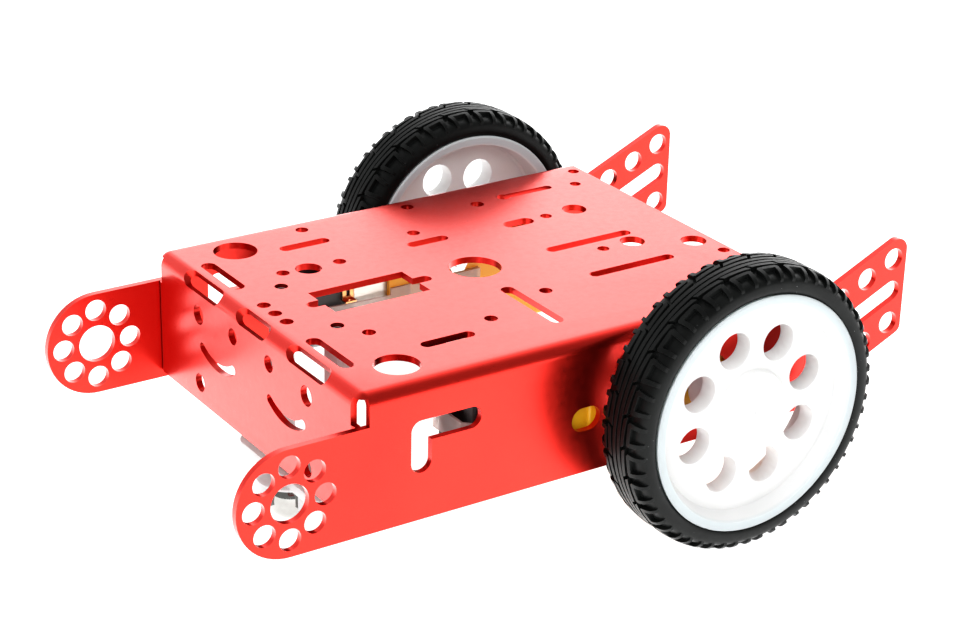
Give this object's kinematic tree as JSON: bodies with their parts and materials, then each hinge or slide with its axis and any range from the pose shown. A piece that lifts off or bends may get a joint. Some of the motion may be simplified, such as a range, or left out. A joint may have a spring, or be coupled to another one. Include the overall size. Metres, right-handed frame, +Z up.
{
  "type": "two-wheel-drive rover chassis",
  "caption": "Folded red sheet-metal rover chassis with geared motors, spoked-hole wheels, blocked tyres, front ears, rear arms and a ball caster.",
  "frame": {"origin": "on the ground, under the middle of the overall box", "axes": "+X forward towards the ball caster, +Y to the rover's left, +Z up"},
  "size_m": [0.1716, 0.1282, 0.065],
  "materials": {
    "anodised_red": "satin anodised red",
    "tyre_rubber": "satin moulded rubber",
    "white_plastic": "semi-gloss moulded nylon",
    "yellow_plastic": "semi-gloss moulded plastic",
    "black_plastic": "semi-gloss moulded plastic",
    "can_steel": "drawn steel",
    "polished_steel": "polished ball",
    "plated_steel": "zinc plated",
    "brass": "machined",
    "copper": "stamped and tinned at the tip",
    "strap_plastic": "translucent moulded plastic",
    "magnet_ferrite": "sintered"
  },
  "bodies": {
    "chassis": {"chassis_frame": "anodised_red", "caster_housing": "white_plastic", "caster_standoffs": "white_plastic", "caster_screws": "plated_steel", "caster_set_screws": "plated_steel", "left_gearbox_outer_case": "yellow_plastic", "left_gearbox_inner_case": "yellow_plastic", "left_motor_can": "can_steel", "left_motor_endcap": "black_plastic", "left_motor_magnets": "magnet_ferrite", "left_motor_terminals": "copper", "left_motor_strap": "strap_plastic", "left_gear_pins": "plated_steel", "left_gearbox_screws": "plated_steel", "left_mount_bolts": "plated_steel", "left_mount_nuts": "plated_steel", "right_gearbox_outer_case": "yellow_plastic", "right_gearbox_inner_case": "yellow_plastic", "right_motor_can": "can_steel", "right_motor_endcap": "black_plastic", "right_motor_magnets": "magnet_ferrite", "right_motor_terminals": "copper", "right_motor_strap": "strap_plastic", "right_gear_pins": "plated_steel", "right_gearbox_screws": "plated_steel", "right_mount_bolts": "plated_steel", "right_mount_nuts": "plated_steel"},
    "caster_ball": {"caster_ball": "polished_steel"},
    "left_wheel": {"left_tyre": "tyre_rubber", "left_wheel_rim": "white_plastic", "left_output_shaft": "white_plastic"},
    "left_idler": {"left_idler_gear": "white_plastic"},
    "left_crown": {"left_crown_gear": "white_plastic"},
    "left_rotor": {"left_motor_rotor": "plated_steel", "left_motor_pinion": "brass"},
    "right_wheel": {"right_tyre": "tyre_rubber", "right_wheel_rim": "white_plastic", "right_output_shaft": "white_plastic"},
    "right_idler": {"right_idler_gear": "white_plastic"},
    "right_crown": {"right_crown_gear": "white_plastic"},
    "right_rotor": {"right_motor_rotor": "plated_steel", "right_motor_pinion": "brass"}
  },
  "joints": [
    {"name": "left_wheel_spin", "type": "hinge", "parent": "chassis", "child": "left_wheel", "pos_m": [-0.02924, 0.034, 0.0325], "axis": [0, 1, 0], "continuous": true},
    {"name": "left_idler_spin", "type": "hinge", "parent": "chassis", "child": "left_idler", "pos_m": [-0.01912, 0.034, 0.0325], "axis": [0, 1, 0], "continuous": true},
    {"name": "left_crown_spin", "type": "hinge", "parent": "chassis", "child": "left_crown", "pos_m": [-0.01012, 0.034, 0.0325], "axis": [0, 1, 0], "continuous": true},
    {"name": "left_rotor_spin", "type": "hinge", "parent": "chassis", "child": "left_rotor", "pos_m": [0.009, 0.034, 0.0325], "axis": [1, 0, 0], "continuous": true},
    {"name": "right_wheel_spin", "type": "hinge", "parent": "chassis", "child": "right_wheel", "pos_m": [-0.02924, -0.034, 0.0325], "axis": [0, 1, 0], "continuous": true},
    {"name": "right_idler_spin", "type": "hinge", "parent": "chassis", "child": "right_idler", "pos_m": [-0.01912, -0.034, 0.0325], "axis": [0, 1, 0], "continuous": true},
    {"name": "right_crown_spin", "type": "hinge", "parent": "chassis", "child": "right_crown", "pos_m": [-0.01012, -0.034, 0.0325], "axis": [0, 1, 0], "continuous": true},
    {"name": "right_rotor_spin", "type": "hinge", "parent": "chassis", "child": "right_rotor", "pos_m": [0.009, -0.034, 0.0325], "axis": [1, 0, 0], "continuous": true},
    {"name": "caster_roll", "type": "hinge", "parent": "chassis", "child": "caster_ball", "pos_m": [0.04885, 0, 0.006], "axis": [0, 1, 0], "continuous": true}
  ],
  "couplings": [
    {"joint": "left_idler_spin", "follows": "left_wheel_spin", "ratio": -4},
    {"joint": "left_crown_spin", "follows": "left_wheel_spin", "ratio": 12},
    {"joint": "left_rotor_spin", "follows": "left_wheel_spin", "ratio": 48},
    {"joint": "right_idler_spin", "follows": "right_wheel_spin", "ratio": -4},
    {"joint": "right_crown_spin", "follows": "right_wheel_spin", "ratio": 12},
    {"joint": "right_rotor_spin", "follows": "right_wheel_spin", "ratio": -48}
  ]
}
